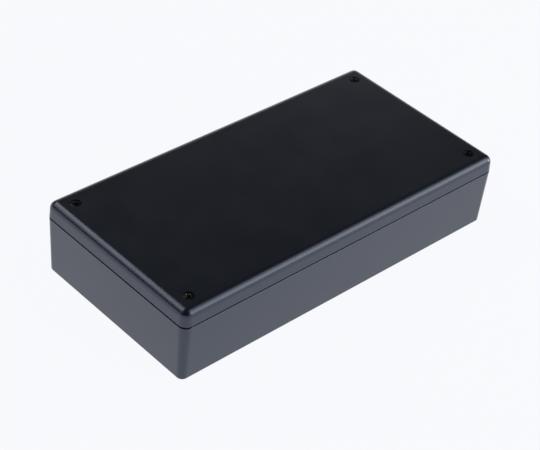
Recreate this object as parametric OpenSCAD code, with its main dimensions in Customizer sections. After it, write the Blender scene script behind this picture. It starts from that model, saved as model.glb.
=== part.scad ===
// Plastic project box: a drafted base moulding and lid, joined by four countersunk screws in brass inserts.
// Lengths are millimetres and angles are degrees. +Z is up, X runs along the long side, and the
// origin is the centre of the underside.

/* [Box] */
// Length over the seam, where the box is longest
box_length = 200; // [160:1:260]
// Width over the seam, where the box is widest
box_width = 100; // [80:1:160]
// Height from the underside to the top of the lid
box_height = 40; // [34:0.5:60]
// Thickness of the side walls at the seam
wall_thickness = 2.5; // [2.4:0.1:3.2]
// Outside radius of the upright corners at the seam
corner_radius = 4.2; // [4.2:0.1:6]
// Inside radius of the upright corners at the seam
inner_corner_radius = 2; // [1.9:0.1:3]
// Radius where the inside walls meet the floor and the lid plate
inner_edge_radius = 0.8; // [0.3:0.1:0.8]

/* [Base] */
// Draft of the base walls, which lean in towards the underside
base_draft = 2; // [0.5:0.25:2.25]
// Radius of the edge round the underside
base_edge_radius = 1; // [0.4:0.1:1.4]
// Thickness of the floor
floor_thickness = 2.5; // [2:0.1:3.5]

/* [Lid] */
// Height of the lid from its rim to its top face
lid_height = 8.5; // [7.5:0.1:12]
// Draft of the lid walls, which lean in towards the top face
lid_draft = 3; // [0.5:0.25:3]
// Radius of the edge round the top face
lid_edge_radius = 3.9; // [1:0.1:3.9]
// Thickness of the lid plate
lid_thickness = 2.5; // [2.3:0.1:3.2]

/* [Seam] */
// Shadow gap between the rim of the lid and the rim of the base
seam_gap = 0.5; // [0.1:0.05:0.6]
// Chamfer on the outer edge of the lid's rim
lid_rim_chamfer = 0.3; // [0.05:0.05:0.4]
// Chamfer on the outer edge of the base's rim
base_rim_chamfer = 0.1; // [0.05:0.05:0.4]
// Thickness of the lid's tongue where it leaves the rim
tongue_thickness = 1; // [0.8:0.1:1.2]
// Height of the tongue below the rim of the lid
tongue_height = 2.3; // [1.5:0.1:3]
// Gap between the tongue and the rebate, at its side and its tip
tongue_clearance = 0.3; // [0.2:0.05:0.4]

/* [Screws] */
// Distance of each screw from the two nearest sides, measured at the seam
screw_inset = 9.75; // [9.5:0.25:14]
// Outside diameter of the screw thread
screw_diameter = 3; // [2.5:0.1:3.5]
// Length of thread that the insert holds
thread_engagement = 5.15; // [4:0.05:5.5]
// Diameter of the countersunk head
head_diameter = 5.2; // [5:0.1:6]
// Height of the straight rim round the head
head_rim = 0.3; // [0.2:0.05:0.5]
// Depth of the head below the top face of the lid
head_recess = 0.3; // [0.1:0.05:0.5]
// Gap round the rim of the head
head_clearance = 0.1; // [0.05:0.01:0.1]
// Gap between the head and its countersink, square to the cone
seat_clearance = 0.05; // [0.02:0.01:0.06]
// Gap round the screw in the lid
screw_clearance = 0.2; // [0.15:0.05:0.4]
// Width across the cross recess, from wing to wing
drive_span = 2.9; // [2.5:0.1:3.2]
// Diameter of the cross recess at its bottom
drive_foot = 1; // [0.9:0.1:1.4]
// Thickness of one wing of the cross recess
drive_wing = 0.7; // [0.5:0.05:0.9]
// Depth of the cross recess
drive_depth = 1.2; // [0.8:0.1:1.4]
// Chamfer on the tip of the screw
screw_tip = 0.4; // [0.2:0.1:0.6]

/* [Inserts] */
// Diameter of the threaded insert over its knurled bands
insert_diameter = 4.6; // [4.4:0.1:5.4]
// Length of the insert
insert_length = 6; // [4.5:0.1:6.5]
// Depth of the groove between the knurled bands, and of the plain lead-in below them
insert_groove = 0.3; // [0.1:0.05:0.4]
// Width of the groove between the knurled bands
groove_width = 0.7; // [0.4:0.1:1]
// Length of the plain lead-in
lead_length = 1.1; // [0.6:0.1:1.5]
// Chamfer at the mouth of the insert
insert_chamfer = 0.3; // [0.1:0.05:0.4]
// Depth of the insert below the top of its pillar
insert_sink = 0.1; // [0.05:0.05:0.3]
// Gap round the insert in its pillar
insert_clearance = 0.02; // [0.01:0.01:0.05]
// Gap between the screw and the insert
thread_clearance = 0.05; // [0.03:0.01:0.1]

/* [Screw pillars] */
// Diameter of the pillars where base and lid meet
pillar_diameter = 9; // [8.6:0.1:10]
// Draft of the pillars, which grow towards the floor and the lid plate
pillar_draft = 0.5; // [0:0.25:1]
// Thickness of the webs from each pillar to the walls
web_thickness = 1.6; // [1.2:0.1:2.2]
// Step from the top of each pillar down to its webs
web_step = 1; // [0.5:0.5:3]
// Depth of the hole below the insert and the screw
relief_depth = 3; // [1:0.5:5]

/* [Card guides] */
// Distance between neighbouring card slots
slot_pitch = 20; // [10:1:30]
// Smallest gap along a wall between its card slots and the pillars
slot_margin = 5; // [2:0.5:20]
// Width of each card slot
slot_width = 1.8; // [1.2:0.1:2.6]
// Thickness of the ribs that form the slots
rib_thickness = 1; // [0.8:0.1:1.6]
// Height of the ribs off the wall
rib_height = 1.5; // [1:0.1:2.5]

/* [Board posts] */
// Distance of the board posts from the ends of the box, measured at the seam
post_inset_x = 25; // [20:1:60]
// Distance of the board posts from the long sides, measured at the seam
post_inset_y = 15; // [10:1:30]
// Diameter of each board post
post_diameter = 6; // [5:0.5:7]
// Height of each board post above the floor
post_height = 5; // [3:0.5:10]
// Diameter of the pilot hole in each board post
post_hole = 2.5; // [2:0.1:3]

/* [Hidden] */
$fn = 96;
// Overlap that makes cuts pass through and unions bite
bite = 0.5;
half_x = box_length / 2;
half_y = box_width / 2;
rim_z = box_height - lid_height;
base_height = rim_z - seam_gap;
rebate_width = tongue_thickness + tongue_clearance;
rebate_depth = tongue_height + tongue_clearance - seam_gap;
rebate_inset = wall_thickness - rebate_width;
tongue_inset = rebate_inset + tongue_clearance;
tongue_z = rim_z - tongue_height;
seat_z = base_height - rebate_depth;
plate_z = box_height - lid_thickness;
pillar_x = half_x - screw_inset;
pillar_y = half_y - screw_inset;
post_x = half_x - post_inset_x;
post_y = half_y - post_inset_y;
head_z = box_height - head_recess;
// Half the diameter of the straight bore over each screw head
mouth_radius = head_diameter / 2 + head_clearance;
hole_radius = screw_diameter / 2 + screw_clearance;
// Height at which the countersink opens into that bore
mouth_z = head_z - head_rim + head_clearance - seat_clearance * sqrt(2);
bore_radius = screw_diameter / 2 + thread_clearance;
insert_top = seat_z - insert_sink;
insert_z = insert_top - insert_length;
tip_z = insert_top - thread_engagement;
screw_length = head_z - tip_z;
relief_z = min(insert_z, tip_z) - relief_depth;
// Room between two pillars on one wall for the middles of its card slots
slot_room = pillar_diameter + slot_width + 2 * rib_thickness + 2 * slot_margin;
long_slots = floor((2 * pillar_x - slot_room) / slot_pitch) + 1;
short_slots = floor((2 * pillar_y - slot_room) / slot_pitch) + 1;
pillar_signs = [[-1, -1], [1, -1], [1, 1], [-1, 1]];

// Section of a drafted wall. x = 0 is the axis of the corner, reach is the corner radius at y = 0,
// back is how far the section runs behind the axis, and the far edge has the radius edge.
module wall_section(reach, back, draft, height, edge, chamfer) {
    centre_y = height - edge;
    centre_x = reach - centre_y * tan(draft) - edge / cos(draft);
    tangent_x = centre_x + edge * cos(draft);
    tangent_y = centre_y + edge * sin(draft);
    polygon([
        [-back, 0],
        [reach - chamfer, 0],
        [reach - chamfer * tan(draft), chamfer],
        [tangent_x, tangent_y],
        [centre_x, centre_y],
        [centre_x, height],
        [-back, height]
    ]);
    intersection() {
        translate([centre_x, centre_y])
            circle(r = edge);
        polygon([
            [centre_x, centre_y],
            [centre_x + 2 * edge * cos(draft), centre_y + 2 * edge * sin(draft)],
            [centre_x + 2 * edge, centre_y + 2 * edge],
            [centre_x, centre_y + 2 * edge]
        ]);
    }
}

// Section of a drafted wall with a square far edge
module plain_section(reach, back, draft, height) {
    polygon([
        [-back, 0],
        [reach, 0],
        [reach - height * tan(draft), height],
        [-back, height]
    ]);
}

// Block with upright corners of the radius reach and walls that lean in as it rises from z = 0.
// edge rounds the top all the way round, and an edge of 0 leaves it square.
module drafted_block(size_x, size_y, reach, draft, height, edge = 0, chamfer = 0) {
    axis_x = size_x - reach;
    axis_y = size_y - reach;
    module section(back) {
        if (edge > 0)
            wall_section(reach, back, draft, height, edge, chamfer);
        else
            plain_section(reach, back, draft, height);
    }
    rotate([90, 0, 90])
        linear_extrude(height = 2 * axis_x, center = true)
            for (side = [0, 1])
                mirror([side, 0])
                    translate([axis_y, 0])
                        section(axis_y + bite);
    rotate([90, 0, 0])
        linear_extrude(height = 2 * axis_y, center = true)
            for (side = [0, 1])
                mirror([side, 0])
                    translate([axis_x, 0])
                        section(axis_x + bite);
    for (side_x = [0, 1], side_y = [0, 1])
        mirror([side_x, 0, 0])
            mirror([0, side_y, 0])
                translate([axis_x, axis_y, 0])
                    rotate_extrude(angle = 90)
                        section(0);
}

// The same block hung below the height z, leaning in towards the bottom
module hung_block(z, size_x, size_y, reach, draft, height, edge = 0, chamfer = 0) {
    translate([0, 0, z])
        mirror([0, 0, 1])
            drafted_block(size_x, size_y, reach, draft, height, edge, chamfer);
}

// One copy of the children at each screw, mirrored so that +X and +Y face the corner
module at_screws() {
    for (sign = pillar_signs)
        mirror([sign[0] < 0 ? 1 : 0, 0, 0])
            mirror([0, sign[1] < 0 ? 1 : 0, 0])
                translate([pillar_x, pillar_y, 0])
                    children();
}

// Pillar that starts at z = 0 and grows as it rises, with two webs to the walls of its corner
module pillar(height, web_start) {
    foot_radius = pillar_diameter / 2 + height * tan(pillar_draft);
    cylinder(r1 = pillar_diameter / 2, r2 = foot_radius, h = height);
    translate([0, -web_thickness / 2, web_start])
        cube([screw_inset - wall_thickness + bite, web_thickness, height - web_start]);
    translate([-web_thickness / 2, 0, web_start])
        cube([web_thickness, screw_inset - wall_thickness + bite, height - web_start]);
}

// Pair of ribs that holds the edge of a card upright against a wall whose seam edge is at size
module card_slot(size) {
    top = seat_z - web_step;
    wall_low = size - wall_thickness - (base_height - floor_thickness) * tan(base_draft);
    wall_high = size - wall_thickness - (base_height - top) * tan(base_draft);
    for (side = [-1, 1])
        translate([side * (slot_width + rib_thickness) / 2, 0, 0])
            rotate([90, 0, 90])
                linear_extrude(height = rib_thickness, center = true)
                    polygon([
                        [wall_low - rib_height, floor_thickness - bite],
                        [wall_low + bite, floor_thickness - bite],
                        [wall_high + bite, top],
                        [wall_high - rib_height, top]
                    ]);
}

// Row of card slots along one wall
module card_slots(count, size) {
    for (index = [0 : count - 1])
        translate([(index - (count - 1) / 2) * slot_pitch, 0, 0])
            card_slot(size);
}

// Board post with its pilot hole
module board_post() {
    difference() {
        translate([0, 0, -bite])
            cylinder(d = post_diameter, h = post_height + bite);
        cylinder(d = post_hole, h = post_height + bite);
    }
}

// Base without the holes in its pillars
module base_shell() {
    difference() {
        hung_block(base_height, half_x, half_y, corner_radius, base_draft,
            base_height, base_edge_radius, base_rim_chamfer);
        hung_block(base_height, half_x - wall_thickness, half_y - wall_thickness,
            inner_corner_radius, base_draft, base_height - floor_thickness, inner_edge_radius);
        hung_block(base_height, half_x - rebate_inset, half_y - rebate_inset,
            corner_radius - rebate_inset, base_draft, rebate_depth);
        // Keeps the two cuts open at the top
        translate([0, 0, base_height])
            drafted_block(half_x - rebate_inset, half_y - rebate_inset,
                corner_radius - rebate_inset, 0, bite);
    }
}

module base() {
    color([0.12, 0.12, 0.13])
        difference() {
            union() {
                base_shell();
                at_screws()
                    translate([0, 0, seat_z])
                        mirror([0, 0, 1])
                            pillar(seat_z - floor_thickness + bite, web_step);
                for (turn = [0, 180])
                    rotate([0, 0, turn])
                        card_slots(long_slots, half_y);
                for (turn = [90, 270])
                    rotate([0, 0, turn])
                        card_slots(short_slots, half_x);
                for (side_x = [-1, 1], side_y = [-1, 1])
                    translate([side_x * post_x, side_y * post_y, floor_thickness])
                        board_post();
            }
            at_screws() {
                translate([0, 0, insert_z])
                    cylinder(r = insert_diameter / 2 + insert_clearance, h = seat_z - insert_z + bite);
                translate([0, 0, relief_z])
                    cylinder(r = hole_radius, h = seat_z - relief_z);
            }
        }
}

// Lid without the holes in its bosses
module lid_shell() {
    difference() {
        union() {
            translate([0, 0, rim_z])
                drafted_block(half_x, half_y, corner_radius, lid_draft, lid_height,
                    lid_edge_radius, lid_rim_chamfer);
            hung_block(rim_z, half_x - tongue_inset, half_y - tongue_inset,
                corner_radius - tongue_inset, base_draft, tongue_height);
        }
        translate([0, 0, tongue_z])
            drafted_block(half_x - wall_thickness, half_y - wall_thickness,
                inner_corner_radius, lid_draft, plate_z - tongue_z, inner_edge_radius);
    }
}

module lid() {
    color([0.13, 0.13, 0.14])
        difference() {
            union() {
                lid_shell();
                at_screws()
                    translate([0, 0, seat_z])
                        pillar(plate_z - seat_z + bite, rim_z - seat_z);
            }
            at_screws() {
                translate([0, 0, seat_z - bite])
                    cylinder(r = hole_radius, h = box_height - seat_z);
                translate([0, 0, mouth_z - (mouth_radius - hole_radius)])
                    cylinder(r1 = hole_radius, r2 = mouth_radius, h = mouth_radius - hole_radius);
                translate([0, 0, mouth_z])
                    cylinder(r = mouth_radius, h = box_height - mouth_z + bite);
            }
        }
}

// Cross recess with four wings that shorten towards the bottom, hanging below z = 0
module cross_recess() {
    intersection() {
        translate([0, 0, -drive_depth])
            cylinder(d1 = drive_foot, d2 = drive_span, h = drive_depth);
        translate([0, 0, -drive_depth])
            union() {
                translate([-drive_span / 2, -drive_wing / 2, 0])
                    cube([drive_span, drive_wing, drive_depth]);
                translate([-drive_wing / 2, -drive_span / 2, 0])
                    cube([drive_wing, drive_span, drive_depth]);
            }
    }
    translate([-drive_wing / 2, -drive_wing / 2, 0])
        cube([drive_wing, drive_wing, bite]);
}

// Countersunk screw with its head face at z = 0
module countersunk_screw() {
    head_radius = head_diameter / 2;
    shank_radius = screw_diameter / 2;
    cone_end = head_rim + head_radius - shank_radius;
    difference() {
        rotate_extrude()
            polygon([
                [0, 0],
                [head_radius, 0],
                [head_radius, -head_rim],
                [shank_radius, -cone_end],
                [shank_radius, screw_tip - screw_length],
                [shank_radius - screw_tip, -screw_length],
                [0, -screw_length]
            ]);
        cross_recess();
    }
}

// Threaded insert with its mouth at z = 0: two knurled bands, a groove and a plain lead-in
module threaded_insert() {
    band_radius = insert_diameter / 2;
    groove_radius = band_radius - insert_groove;
    band = (insert_length - groove_width - lead_length) / 2;
    rotate_extrude()
        polygon([
            [bore_radius + insert_chamfer, 0],
            [band_radius, 0],
            [band_radius, -band],
            [groove_radius, -band],
            [groove_radius, -band - groove_width],
            [band_radius, -band - groove_width],
            [band_radius, lead_length - insert_length],
            [groove_radius, lead_length - insert_length],
            [groove_radius, -insert_length],
            [bore_radius, -insert_length],
            [bore_radius, -insert_chamfer]
        ]);
}

// Puts the children on the axis of the screw with this number, at the height z
module on_screw_axis(number, z) {
    sign = pillar_signs[number - 1];
    translate([sign[0] * pillar_x, sign[1] * pillar_y, z])
        children();
}

module screw(number) {
    color([0.08, 0.08, 0.09])
        on_screw_axis(number, head_z)
            countersunk_screw();
}

module insert(number) {
    color([0.72, 0.56, 0.28])
        on_screw_axis(number, insert_top)
            threaded_insert();
}

base();
lid();
screw(1);  // screw_1
screw(2);  // screw_2
screw(3);  // screw_3
screw(4);  // screw_4
insert(1);  // insert_1
insert(2);  // insert_2
insert(3);  // insert_3
insert(4);  // insert_4
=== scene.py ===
import math

import bmesh
import bpy
from mathutils import Matrix, Vector


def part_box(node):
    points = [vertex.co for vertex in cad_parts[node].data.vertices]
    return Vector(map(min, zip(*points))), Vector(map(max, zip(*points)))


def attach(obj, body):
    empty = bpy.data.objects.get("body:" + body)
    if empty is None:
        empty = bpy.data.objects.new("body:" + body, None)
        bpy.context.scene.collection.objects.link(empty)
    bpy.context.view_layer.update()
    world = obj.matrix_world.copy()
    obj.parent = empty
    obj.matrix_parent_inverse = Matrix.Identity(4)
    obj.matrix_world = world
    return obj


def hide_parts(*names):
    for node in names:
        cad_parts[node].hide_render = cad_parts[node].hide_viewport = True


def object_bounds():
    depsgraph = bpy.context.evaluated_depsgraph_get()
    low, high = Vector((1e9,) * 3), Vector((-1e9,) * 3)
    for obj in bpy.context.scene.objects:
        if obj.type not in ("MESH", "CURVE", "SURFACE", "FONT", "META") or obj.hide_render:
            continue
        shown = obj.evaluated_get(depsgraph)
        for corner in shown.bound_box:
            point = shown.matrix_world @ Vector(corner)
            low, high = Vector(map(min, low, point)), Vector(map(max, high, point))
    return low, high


bl_info = {
    "name": "Plastic project box",
    "version": (1, 0, 0),
    "blender": (4, 5, 0),
    "location": "3D View > Sidebar > Project Box",
    "description": "Finishes, screws and inserts of a moulded plastic project box",
    "category": "Object",
}

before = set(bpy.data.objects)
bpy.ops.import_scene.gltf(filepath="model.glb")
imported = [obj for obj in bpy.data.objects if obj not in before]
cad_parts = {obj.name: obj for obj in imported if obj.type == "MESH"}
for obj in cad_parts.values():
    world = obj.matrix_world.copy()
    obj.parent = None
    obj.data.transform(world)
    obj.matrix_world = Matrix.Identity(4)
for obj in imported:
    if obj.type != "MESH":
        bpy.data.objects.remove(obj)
CAD_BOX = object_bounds()

MM = 0.001
# Points closer together than this are one point
TOUCH = 0.002 * MM
# Faces that meet at more than this keep a sharp edge
SHARP_ANGLE = math.radians(32)
# Coarse pitch of an M3 thread, and the faces round one turn of it
THREAD_PITCH = 0.5 * MM
THREAD_STEPS = 24
SCREW_NODES = ("screw_1", "screw_2", "screw_3", "screw_4")
SCREW_TURN_STEP = math.radians(23)
INSERT_NODES = ("insert_1", "insert_2", "insert_3", "insert_4")


def linear(code):
    """Linear colour of an sRGB hex value."""
    parts = [int(code[i:i + 2], 16) / 255 for i in (0, 2, 4)]
    return [c / 12.92 if c <= 0.04045 else ((c + 0.055) / 1.055) ** 2.4 for c in parts]


# Settings

def length(name, description, default):
    """A size in metres that the user can change."""
    return bpy.props.FloatProperty(name=name, description=description, default=default,
                                   min=0, subtype="DISTANCE", unit="LENGTH", precision=5)


def share(name, description, default):
    """A number from 0 to 1 that the user can change."""
    return bpy.props.FloatProperty(name=name, description=description, default=default,
                                   min=0, max=1, subtype="FACTOR")


def angle(name, description, degrees):
    """An angle that the user can change."""
    return bpy.props.FloatProperty(name=name, description=description,
                                   default=math.radians(degrees), subtype="ANGLE", unit="ROTATION")


def colour(name, description, code):
    """A colour that the user can change, from an sRGB hex value."""
    return bpy.props.FloatVectorProperty(name=name, description=description, default=linear(code),
                                         min=0, max=1, size=3, subtype="COLOR")


class MouldingSettings(bpy.types.PropertyGroup):
    colour: colour("Plastic colour", "Colour of the black ABS", "1e232d")
    roughness: share("Roughness", "Roughness of the moulded surface", 0.3)
    grain: length("Grain size", "Width of one crater of the spark-eroded texture", 0.25 * MM)


class ScrewSettings(bpy.types.PropertyGroup):
    colour: colour("Plating colour", "Colour of the black zinc plating", "4a4b4e")
    pitch: length("Thread pitch", "Distance from one turn of the thread to the next",
                  THREAD_PITCH)
    core: length("Core radius", "Radius at the bottom of the thread", 1.2 * MM)
    crest: length("Thread radius", "Radius over the thread", 1.5 * MM)
    neck: length("Neck length", "Plain length between the cone and the thread", 1.0 * MM)
    tip: length("Tip chamfer", "Chamfer at the end of the thread", 0.4 * MM)
    rim: length("Head rim", "Height of the straight rim round the head", 0.3 * MM)
    edge: length("Head edge", "Rounding of the edge of the head", 0.08 * MM)
    recess: length("Recess width", "Width across the cross recess", 2.9 * MM)
    wing: length("Wing thickness", "Thickness of one wing of the recess", 0.7 * MM)
    foot: length("Recess foot", "Width of the recess at its bottom", 1.0 * MM)
    depth: length("Recess depth", "Depth of the cross recess", 1.2 * MM)
    turn: angle("Recess turn", "Turn of the first screw's recess", 8)


class InsertSettings(bpy.types.PropertyGroup):
    colour: colour("Brass colour", "Colour of the turned brass", "c9a55a")
    teeth: bpy.props.IntProperty(name="Knurl teeth", description="Teeth round one knurled band",
                                 default=28, min=8)
    knurl: length("Knurl depth", "Depth of the knurling", 0.14 * MM)
    slant: angle("Knurl slant", "Turn of one tooth along its band", 24)
    band: length("Band length", "Length of one knurled band", 2.1 * MM)
    groove: length("Groove depth", "Depth of the groove and of the plain lead-in", 0.3 * MM)
    gap: length("Groove width", "Width of the groove between the bands", 0.7 * MM)
    bore: length("Bore radius", "Radius over the inside of the thread", 1.53 * MM)
    thread: length("Thread depth", "Depth of the thread in the bore", 0.22 * MM)
    chamfer: length("Mouth chamfer", "Chamfer at the mouth of the bore", 0.3 * MM)


class StageSettings(bpy.types.PropertyGroup):
    floor: colour("Floor colour", "Colour of the white board under the box", "fbfcff")
    glow: share("Floor brightness", "Share of the floor that stays white in the shade", 0.96)
    azimuth: angle("Camera azimuth", "Direction of the camera round the box", -46.233)
    elevation: angle("Camera elevation", "Height of the camera over the floor", 37.37)
    roll: angle("Camera roll", "Turn of the camera about its own axis", 6.343)
    distance: length("Camera distance", "Distance from the camera to the middle of the box", 0.79177)


class BoxSettings(bpy.types.PropertyGroup):
    moulding: bpy.props.PointerProperty(type=MouldingSettings)
    screw: bpy.props.PointerProperty(type=ScrewSettings)
    insert: bpy.props.PointerProperty(type=InsertSettings)
    stage: bpy.props.PointerProperty(type=StageSettings)


# Materials

def add(tree, kind, settings=None, **links):
    """Adds a node of this kind with its settings, and links or sets its inputs by name or number."""
    node = tree.nodes.new("ShaderNode" + kind)
    for name, value in (settings or {}).items():
        setattr(node, name, value)
    for name, value in links.items():
        key = int(name[1:]) if name[0] == "_" else name.replace("_", " ")
        if isinstance(value, bpy.types.NodeSocket):
            tree.links.new(value, node.inputs[key])
        else:
            node.inputs[key].default_value = value
    return node


def new_material(name):
    """An empty node material with this name, and its node tree."""
    material = bpy.data.materials.new(name)
    material.use_nodes = True
    material.node_tree.nodes.clear()
    return material, material.node_tree


def uneven(tree, place, scale, low, high):
    """A value that drifts between low and high over the surface."""
    cloud = add(tree, "TexNoise", _0=place, Scale=scale, Detail=2.0)
    return add(tree, "MapRange", _0=cloud.outputs[0], _1=0.3, _2=0.7, _3=low, _4=high).outputs[0]


# Matched to the brightness and colour of the photograph. ABS itself is neutral, with an IOR near 1.54.
ABS_IOR = 1.8
ABS_SPECULAR_TINT = (0.66, 0.75, 1.0, 1)
ABS_ROUGHNESS_SPREAD = 0.02


def moulded_abs(settings):
    """Black ABS moulded in spark-eroded steel: satin, with fine craters that soften what it reflects."""
    material, tree = new_material("moulded_black_abs")
    place = add(tree, "TexCoord").outputs["Object"]
    craters = add(tree, "TexNoise", _0=place, Scale=1 / settings.grain, Detail=3.0, Roughness=0.6)
    gloss = uneven(tree, place, 60.0, settings.roughness - ABS_ROUGHNESS_SPREAD,
                   settings.roughness + ABS_ROUGHNESS_SPREAD)
    bump = add(tree, "Bump", Strength=0.25, Distance=0.01 * MM, Height=craters.outputs[0])
    shader = add(tree, "BsdfPrincipled", Base_Color=(*settings.colour, 1), Roughness=gloss,
                 IOR=ABS_IOR, Specular_Tint=ABS_SPECULAR_TINT, Normal=bump.outputs[0])
    add(tree, "OutputMaterial", Surface=shader.outputs[0])
    return material


def black_zinc(settings):
    """Steel plated with black-passivated zinc: dark, with a metal's sharp reflections."""
    material, tree = new_material("black_zinc_plated_steel")
    place = add(tree, "TexCoord").outputs["Object"]
    gloss = uneven(tree, place, 1500.0, 0.24, 0.34)
    shader = add(tree, "BsdfPrincipled", Base_Color=(*settings.colour, 1), Roughness=gloss, Metallic=1.0)
    add(tree, "OutputMaterial", Surface=shader.outputs[0])
    return material


def turned_brass(settings):
    """Free-cutting brass, turned and knurled: warm yellow, with fine tool marks round the axis."""
    material, tree = new_material("turned_brass")
    place = add(tree, "TexCoord").outputs["Object"]
    gloss = uneven(tree, place, 1500.0, 0.22, 0.34)
    # Coarser than real tool marks, which would be too fine to draw
    lathe = add(tree, "TexWave", {"bands_direction": "Z"}, _0=place, Scale=2500.0, Distortion=1.0)
    bump = add(tree, "Bump", Strength=0.2, Distance=0.005 * MM, Height=lathe.outputs["Fac"])
    shader = add(tree, "BsdfPrincipled", Base_Color=(*settings.colour, 1), Roughness=gloss, Metallic=1.0,
                 Normal=bump.outputs[0])
    add(tree, "OutputMaterial", Surface=shader.outputs[0])
    return material


def white_board(settings):
    """Matt white board, which the camera and reflections see evenly lit, with a pale shadow."""
    material, tree = new_material("white_board")
    path = add(tree, "LightPath")
    seen = add(tree, "Math", {"operation": "MAXIMUM"}, _0=path.outputs["Is Camera Ray"],
               _1=path.outputs["Is Glossy Ray"])
    seen = add(tree, "Math", {"operation": "MAXIMUM"}, _0=seen.outputs[0],
               _1=path.outputs["Is Transmission Ray"])
    part = add(tree, "Math", {"operation": "MULTIPLY"}, _0=seen.outputs[0], _1=settings.glow)
    matt = add(tree, "BsdfDiffuse", Color=(*settings.floor, 1))
    white = add(tree, "Emission", Color=(*settings.floor, 1), Strength=1.0)
    mixed = add(tree, "MixShader", _0=part.outputs[0], _1=matt.outputs[0], _2=white.outputs[0])
    add(tree, "OutputMaterial", Surface=mixed.outputs[0])
    return material


# Shapes

def turned_place(node):
    """Axis of a turned CAD node, with its lowest and highest point and its largest radius."""
    low, high = (Vector(corner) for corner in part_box(node))
    axis = Vector(((low.x + high.x) / 2, (low.y + high.y) / 2, 0))
    return axis, low.z, high.z, (high.x - low.x) / 2


def helix(foot, crest, pitch, low, high):
    """Open tube from low to high, with a thread between the foot and the crest radius."""
    ridge = ((foot, 0), (crest, 0.375 * pitch), (crest, 0.5 * pitch), (foot, 0.875 * pitch), (foot, pitch))
    steps = THREAD_STEPS
    bm = bmesh.new()
    verts = [bm.verts.new((radius, 0, low - pitch + height)) for radius, height in ridge]
    edges = [bm.edges.new(pair) for pair in zip(verts, verts[1:])]
    turns = math.ceil((high - low) / pitch) + 2
    bmesh.ops.spin(bm, geom=verts + edges, cent=(0, 0, 0), axis=(0, 0, 1), dvec=(0, 0, pitch / steps),
                   angle=2 * math.pi * turns, steps=steps * turns)
    bmesh.ops.remove_doubles(bm, verts=bm.verts, dist=TOUCH)
    for height, above in ((low, False), (high, True)):
        geometry = bm.verts[:] + bm.edges[:] + bm.faces[:]
        bmesh.ops.bisect_plane(bm, geom=geometry, dist=TOUCH, plane_co=(0, 0, height),
                               plane_no=(0, 0, 1), clear_outer=above, clear_inner=not above)
    return bm


def open_rim(bm, height):
    """Open edges of a tube at this height."""
    return [edge for edge in bm.edges
            if edge.is_boundary and all(abs(vert.co.z - height) < 2 * TOUCH for vert in edge.verts)]


def grow(bm, edges, rings):
    """Extrudes a rim through rings of (radius, height), and returns the last rim."""
    for radius, height in rings:
        made = bmesh.ops.extrude_edge_only(bm, edges=edges)["geom"]
        for vert in (item for item in made if isinstance(item, bmesh.types.BMVert)):
            vert.co.xy = vert.co.xy.normalized() * radius
            vert.co.z = height
        edges = [item for item in made if isinstance(item, bmesh.types.BMEdge)]
    return edges


def limit_radius(bm, rule):
    """Gives each vertex the radius that the rule works out from its radius and height."""
    for vert in bm.verts:
        vert.co.xy = vert.co.xy.normalized() * rule(vert.co.xy.length, vert.co.z)


def to_object(bm, name, material, place=None):
    """Turns a bmesh into an object whose place is in its mesh, smooth except at its sharp edges."""
    bmesh.ops.recalc_face_normals(bm, faces=bm.faces)
    mesh = bpy.data.meshes.new(name)
    bm.to_mesh(mesh)
    bm.free()
    finish_mesh(mesh, material, place or Matrix())
    thing = bpy.data.objects.new(name, mesh)
    bpy.context.scene.collection.objects.link(thing)
    return thing


def finish_mesh(mesh, material, place):
    """Puts a mesh in its place, with its material and with smooth faces between its sharp edges."""
    mesh.transform(place)
    mesh.materials.clear()
    mesh.materials.append(material)
    mesh.polygons.foreach_set("use_smooth", [True] * len(mesh.polygons))
    mesh.set_sharp_from_angle(angle=SHARP_ANGLE)


def screw_body(settings, low, high, radius):
    """Screw on the Z axis: a helical thread, a plain neck and a countersunk head with a soft rim."""
    cone_foot = high - settings.rim - (radius - settings.crest)
    neck_z = cone_foot - settings.neck
    core, crest = settings.core, settings.crest
    bm = helix(core, crest, settings.pitch, low, neck_z)
    tip = crest - settings.tip
    run_out = 0.6  # radius that the thread loses per length below the neck
    limit_radius(bm, lambda r, z: min(r, tip + z - low, core + (neck_z - z) * run_out))
    bmesh.ops.holes_fill(bm, edges=open_rim(bm, low), sides=0)
    shoulder = (crest + core) / 2
    edge = settings.edge
    rings = (
        (core + 0.02 * MM, neck_z + 0.1 * MM),
        (shoulder, neck_z + 0.25 * MM),
        (shoulder, cone_foot - 0.1 * MM),
        (crest, cone_foot + 0.05 * MM),
        (radius - edge, high - settings.rim - edge),
        (radius, high - settings.rim),
        (radius, high - edge),
        (radius - 0.3 * edge, high - 0.3 * edge),
        (radius - edge, high),
    )
    rim = grow(bm, open_rim(bm, neck_z), rings)
    bmesh.ops.holes_fill(bm, edges=rim, sides=0)
    return bm


def wing_cutter(settings, high, quarter_turn):
    """One pair of wings of the cross recess, with its lip flared and its sides drawn in."""
    half = settings.recess / 2
    wing = settings.wing / 2
    lip = 0.06 * MM
    levels = (
        (half + lip, wing + lip, 0.5 * MM),
        (half + lip, wing + lip, 0),
        (half, wing, -lip),
        (settings.foot / 2, wing * 0.75, -settings.depth),
        (settings.foot / 6, wing * 0.3, -settings.depth - settings.foot / 5),
    )
    bm = bmesh.new()
    bmesh.ops.create_grid(bm, x_segments=1, y_segments=1, size=half)
    faces = bm.faces[:]
    for number, (reach, side, height) in enumerate(levels):
        if number:
            made = bmesh.ops.extrude_face_region(bm, geom=faces)["geom"]
            if number > 1:
                bmesh.ops.delete(bm, geom=faces, context="FACES_ONLY")
            faces = [item for item in made if isinstance(item, bmesh.types.BMFace)]
        for vert in faces[0].verts:
            vert.co = (math.copysign(reach, vert.co.x), math.copysign(side, vert.co.y), high + height)
    if quarter_turn:
        bmesh.ops.rotate(bm, verts=bm.verts, cent=(0, 0, 0), matrix=Matrix.Rotation(math.pi / 2, 3, "Z"))
    return bm


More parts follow.
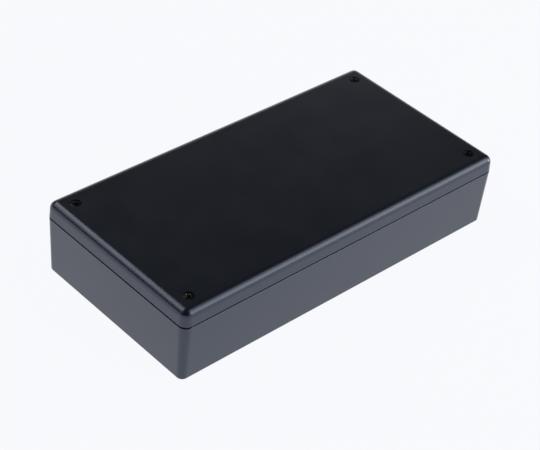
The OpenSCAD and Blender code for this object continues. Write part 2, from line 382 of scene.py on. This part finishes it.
def recessed_screw(settings, material, low, high, radius):
    """Mesh of a finished screw on the Z axis, with its cross recess punched in."""
    blank = to_object(screw_body(settings, low, high, radius), "screw_blank", material)
    cutters = [to_object(wing_cutter(settings, high, quarter_turn), "screw_punch", material)
               for quarter_turn in (False, True)]
    for cutter in cutters:
        cut = blank.modifiers.new("recess", "BOOLEAN")
        cut.operation = "DIFFERENCE"
        cut.solver = "EXACT"
        cut.object = cutter
    bpy.context.view_layer.update()
    finished = blank.evaluated_get(bpy.context.evaluated_depsgraph_get())
    mesh = bpy.data.meshes.new_from_object(finished)
    for thing in (blank, *cutters):
        bpy.data.objects.remove(thing)
    return mesh


def set_knurl(verts, count, old_turn, turn, crest, root, height):
    """Puts a rim's vertices at a height, at the crest and the root radius in turn, and turns the rim."""
    step = 2 * math.pi / count
    for vert in verts:
        slot = round((math.atan2(vert.co.y, vert.co.x) - old_turn) / step) % count
        spot = slot * step + turn
        reach = root if slot % 2 else crest
        vert.co = (math.cos(spot) * reach, math.sin(spot) * reach, height)


def insert_levels(settings, low, high, radius):
    """Heights of the rims of the insert's outside, each with its crest and root radius and its turn."""
    plain = radius - settings.groove
    valley = radius - settings.knurl
    soft = 0.1 * MM
    steps = 6
    levels = [(plain - soft, plain - soft, low, 0), (plain, plain, low + soft, 0)]
    for foot, start, end in (
        (high - 2 * settings.band - settings.gap, 0, settings.slant),
        (high - settings.band, settings.slant, 0),
    ):
        levels.append((plain, plain, foot, start))
        levels.append((radius - soft, valley - soft / 2, foot, start))
        for step in range(1, steps):
            along = step / steps
            turn = start + (end - start) * along
            levels.append((radius, valley, foot + settings.band * along, turn))
        levels.append((radius - soft, valley - soft / 2, foot + settings.band, end))
        levels.append((plain, plain, foot + settings.band, end))
    return levels[:-1]


def insert_body(settings, low, high, radius):
    """Threaded insert on the Z axis: two bands knurled in opposite directions, a groove and a lead-in."""
    count = 2 * settings.teeth
    bm = bmesh.new()
    bmesh.ops.create_circle(bm, segments=count, radius=radius)
    bmesh.ops.rotate(bm, verts=bm.verts, cent=(0, 0, 0), matrix=Matrix.Rotation(-math.pi / 2, 3, "Z"))
    edges = bm.edges[:]
    old_turn = 0
    for number, (crest, root, height, turn) in enumerate(insert_levels(settings, low, high, radius)):
        if number:
            made = bmesh.ops.extrude_edge_only(bm, edges=edges)["geom"]
            edges = [item for item in made if isinstance(item, bmesh.types.BMEdge)]
        rim = {vert for edge in edges for vert in edge.verts}
        set_knurl(rim, count, old_turn, turn, crest, root, height)
        old_turn = turn
    bore = settings.bore
    inside = helix(bore + settings.thread, bore, THREAD_PITCH, low, high)
    mouth = bore + settings.chamfer
    foot_chamfer = 0.2 * MM
    limit_radius(inside, lambda r, z: max(r, mouth + z - high, bore + low + foot_chamfer - z))
    thread = bpy.data.meshes.new("thread")
    inside.to_mesh(thread)
    inside.free()
    bm.from_mesh(thread)
    bpy.data.meshes.remove(thread)
    for height in (low, high):
        bmesh.ops.triangle_fill(bm, edges=open_rim(bm, height), use_beauty=True, normal=(0, 0, 1))
    return bm


# Stage

# Name, azimuth and elevation in degrees, distance, width and height in metres, and brightness
LAMPS = (
    ("rear_left_box", 199.0, 50.0, 1.4, 1.0, 0.36, 3.2),
    ("left_box", 230.0, 36.0, 1.4, 0.7, 0.36, 1.3),
    ("front_right_box", 38.0, 27.0, 1.4, 1.15, 0.72, 3.1),
    ("upper_right_box", 50.0, 50.0, 1.4, 0.7, 0.36, 1.5),
    ("low_right_box", 62.0, 7.0, 1.4, 0.36, 0.3, 12.0),
    ("rear_right_box", 138.0, 18.0, 1.4, 0.8, 0.36, 0.8),
)
LAMP_COLOUR = "fffdf8"
ROOM_COLOUR = "c8ccd4"
ROOM_BRIGHTNESS = 0.02
# Radius and height of the points of the floor's section, in metres
FLOOR_PROFILE = ((0, 0), (3.0, 0), (3.3, 0.04), (3.6, 0.18), (3.8, 0.4), (3.9, 0.7))
FLOOR_STEPS = 64
# Camera fitted to the outline, the seam and the screws of the photograph
SENSOR_WIDTH_MM = 36
LENS_MM = 109.03
LENS_SHIFT = (-0.0105, -0.02705)


def direction(azimuth, elevation):
    """Unit vector from the box to a camera or lamp: azimuth 0 is -Y and 90 degrees is +X."""
    flat = math.cos(elevation)
    return Vector((math.sin(azimuth) * flat, -math.cos(azimuth) * flat, math.sin(elevation)))


def aimed(centre, towards, distance, roll=0.0):
    """Place at this distance from the centre that looks back at it."""
    aim = towards.to_track_quat("Z", "Y").to_matrix().to_4x4()
    return Matrix.Translation(centre + towards * distance) @ aim @ Matrix.Rotation(roll, 4, "Z")


def floor_board(material):
    """Round board that runs far out and then sweeps up into a low wall."""
    bm = bmesh.new()
    verts = [bm.verts.new((radius, 0, height)) for radius, height in FLOOR_PROFILE]
    edges = [bm.edges.new(pair) for pair in zip(verts, verts[1:])]
    bmesh.ops.spin(bm, geom=verts + edges, cent=(0, 0, 0), axis=(0, 0, 1),
                   angle=2 * math.pi, steps=FLOOR_STEPS, use_merge=True)
    bmesh.ops.remove_doubles(bm, verts=bm.verts, dist=TOUCH)
    board = to_object(bm, "floor_board", material)


# Steps

class PROJECTBOX_OT_finish_mouldings(bpy.types.Operator):
    """Gives the base and the lid their moulded finish"""
    bl_idname = "project_box.finish_mouldings"
    bl_label = "Finish base and lid"

    def execute(self, context):
        finish = moulded_abs(context.scene.project_box.moulding)
        for name in ("base", "lid"):
            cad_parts[name].data.materials[0] = finish
        return {"FINISHED"}


class PROJECTBOX_OT_make_screws(bpy.types.Operator):
    """Makes the four countersunk screws that hold the lid"""
    bl_idname = "project_box.make_screws"
    bl_label = "Make screws"

    def execute(self, context):
        settings = context.scene.project_box.screw
        finish = black_zinc(settings)
        _, low, high, radius = turned_place(SCREW_NODES[0])
        pattern = recessed_screw(settings, finish, low, high, radius)
        for number, node in enumerate(SCREW_NODES):
            axis = turned_place(node)[0]
            mesh = pattern.copy()
            turn = settings.turn + number * SCREW_TURN_STEP
            finish_mesh(mesh, finish, Matrix.Translation(axis) @ Matrix.Rotation(turn, 4, "Z"))
            piece = bpy.data.objects.new("lid_" + node, mesh)
            context.scene.collection.objects.link(piece)
            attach(piece, node)
            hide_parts(node)
        bpy.data.meshes.remove(pattern)
        return {"FINISHED"}


class PROJECTBOX_OT_make_inserts(bpy.types.Operator):
    """Makes the four knurled brass inserts in the pillars"""
    bl_idname = "project_box.make_inserts"
    bl_label = "Make inserts"

    def execute(self, context):
        settings = context.scene.project_box.insert
        finish = turned_brass(settings)
        for node in INSERT_NODES:
            axis, low, high, radius = turned_place(node)
            body = insert_body(settings, low, high, radius)
            piece = to_object(body, "brass_" + node, finish, Matrix.Translation(axis))
            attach(piece, "base")
            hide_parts(node)
        return {"FINISHED"}


class PROJECTBOX_OT_build_stage(bpy.types.Operator):
    """Builds the floor, the lamps and the camera"""
    bl_idname = "project_box.build_stage"
    bl_label = "Build stage"

    def execute(self, context):
        settings = context.scene.project_box.stage
        scene = context.scene
        floor_board(white_board(settings))
        middle = (CAD_BOX[0] + CAD_BOX[1]) / 2
        for name, azimuth, elevation, distance, width, height, brightness in LAMPS:
            light = bpy.data.lights.new(name, "AREA")
            light.shape = "RECTANGLE"
            light.size = width
            light.size_y = height
            light.energy = brightness * math.pi * width * height
            light.color = linear(LAMP_COLOUR)
            lamp = bpy.data.objects.new(name, light)
            towards = direction(math.radians(azimuth), math.radians(elevation))
            lamp.matrix_world = aimed(middle, towards, distance)
            scene.collection.objects.link(lamp)
        world = bpy.data.worlds.new("studio")
        world.use_nodes = True
        dim = world.node_tree.nodes["Background"]
        dim.inputs["Color"].default_value = (*linear(ROOM_COLOUR), 1)
        dim.inputs["Strength"].default_value = ROOM_BRIGHTNESS
        scene.world = world
        scene.view_settings.view_transform = "Standard"
        view = bpy.data.cameras.new("camera")
        view.sensor_width = SENSOR_WIDTH_MM
        view.lens = LENS_MM
        view.shift_x, view.shift_y = LENS_SHIFT
        camera = bpy.data.objects.new("camera", view)
        camera.matrix_world = aimed(middle, direction(settings.azimuth, settings.elevation),
                                    settings.distance, settings.roll)
        scene.collection.objects.link(camera)
        scene.camera = camera
        return {"FINISHED"}


class PROJECTBOX_PT_panel(bpy.types.Panel):
    """Lists the steps that dress the box"""
    bl_idname = "PROJECTBOX_PT_panel"
    bl_label = "Project box"
    bl_space_type = "VIEW_3D"
    bl_region_type = "UI"
    bl_category = "Project Box"

    def draw(self, context):
        for step in STEPS:
            self.layout.operator(step.bl_idname)


STEPS = (
    PROJECTBOX_OT_finish_mouldings,
    PROJECTBOX_OT_make_screws,
    PROJECTBOX_OT_make_inserts,
    PROJECTBOX_OT_build_stage,
)
CLASSES = (MouldingSettings, ScrewSettings, InsertSettings, StageSettings, BoxSettings, *STEPS,
           PROJECTBOX_PT_panel)


def register():
    for item in CLASSES:
        bpy.utils.register_class(item)
    bpy.types.Scene.project_box = bpy.props.PointerProperty(type=BoxSettings)


def unregister():
    del bpy.types.Scene.project_box
    for item in reversed(CLASSES):
        bpy.utils.unregister_class(item)


def main():
    register()
    bpy.ops.project_box.finish_mouldings()
    bpy.ops.project_box.make_screws()
    bpy.ops.project_box.make_inserts()
    bpy.ops.project_box.build_stage()


if __name__ == "__main__":
    main()
